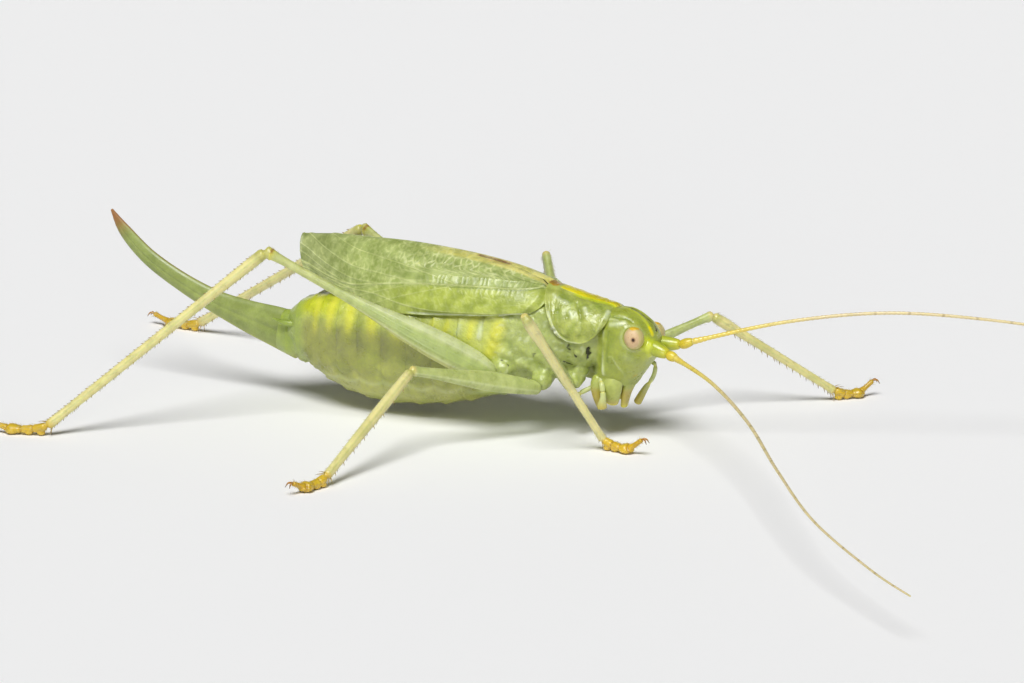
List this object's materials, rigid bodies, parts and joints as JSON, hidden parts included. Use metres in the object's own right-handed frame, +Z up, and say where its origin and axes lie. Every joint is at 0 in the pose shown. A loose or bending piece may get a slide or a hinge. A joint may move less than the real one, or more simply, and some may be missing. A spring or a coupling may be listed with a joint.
{
  "type": "long horned grasshopper",
  "caption": "Adult female oak bush-cricket standing with folded wings, raised hind knees, long thin feelers and an upcurved egg-laying sabre; a still, life-size display model.",
  "frame": {"origin": "the point on the floor under the middle of the model's box", "axes": "+X towards the head, +Y to the animal's left, +Z up; the floor that the feet stand on is z = 0"},
  "size_m": [0.0508, 0.0318, 0.0075],
  "materials": {
    "body_cuticle": "satin, faintly see-through cuticle",
    "leg_cuticle": "satin, faintly see-through cuticle",
    "foot_cuticle": "satin cuticle",
    "feeler_cuticle": "satin cuticle",
    "wing_membrane": "matt veined membrane",
    "sabre_cuticle": "smooth polished cuticle",
    "eye_lens": "glossy finely faceted"
  },
  "bodies": {
    "root": {"head": "body_cuticle", "eye_right": "eye_lens", "eye_left": "eye_lens", "labrum": "body_cuticle", "mandible_right": "body_cuticle", "mandible_left": "body_cuticle", "labium": "body_cuticle", "palp_maxillary_right": "body_cuticle", "palp_maxillary_left": "body_cuticle", "palp_labial_right": "body_cuticle", "palp_labial_left": "body_cuticle", "antenna_right_base": "body_cuticle", "antenna_right_1": "feeler_cuticle", "antenna_right_2": "feeler_cuticle", "antenna_right_3": "feeler_cuticle", "antenna_left_base": "body_cuticle", "antenna_left_1": "feeler_cuticle", "antenna_left_2": "feeler_cuticle", "antenna_left_3": "feeler_cuticle", "pronotum": "body_cuticle", "thorax": "body_cuticle", "abdomen": "body_cuticle", "tegmen_right": "wing_membrane", "tegmen_left": "wing_membrane", "ovipositor": "sabre_cuticle", "cercus_right": "body_cuticle", "cercus_left": "body_cuticle", "fore_right_coxa": "body_cuticle", "fore_right_femur": "leg_cuticle", "fore_right_tibia": "leg_cuticle", "fore_right_tarsus": "foot_cuticle", "fore_left_coxa": "body_cuticle", "fore_left_femur": "leg_cuticle", "fore_left_tibia": "leg_cuticle", "fore_left_tarsus": "foot_cuticle", "middle_right_coxa": "body_cuticle", "middle_right_femur": "leg_cuticle", "middle_right_tibia": "leg_cuticle", "middle_right_tarsus": "foot_cuticle", "middle_left_coxa": "body_cuticle", "middle_left_femur": "leg_cuticle", "middle_left_tibia": "leg_cuticle", "middle_left_tarsus": "foot_cuticle", "hind_right_coxa": "body_cuticle", "hind_right_femur": "leg_cuticle", "hind_right_tibia": "leg_cuticle", "hind_right_tarsus": "foot_cuticle", "hind_left_coxa": "body_cuticle", "hind_left_femur": "leg_cuticle", "hind_left_tibia": "leg_cuticle", "hind_left_tarsus": "foot_cuticle"}
  },
  "joints": []
}
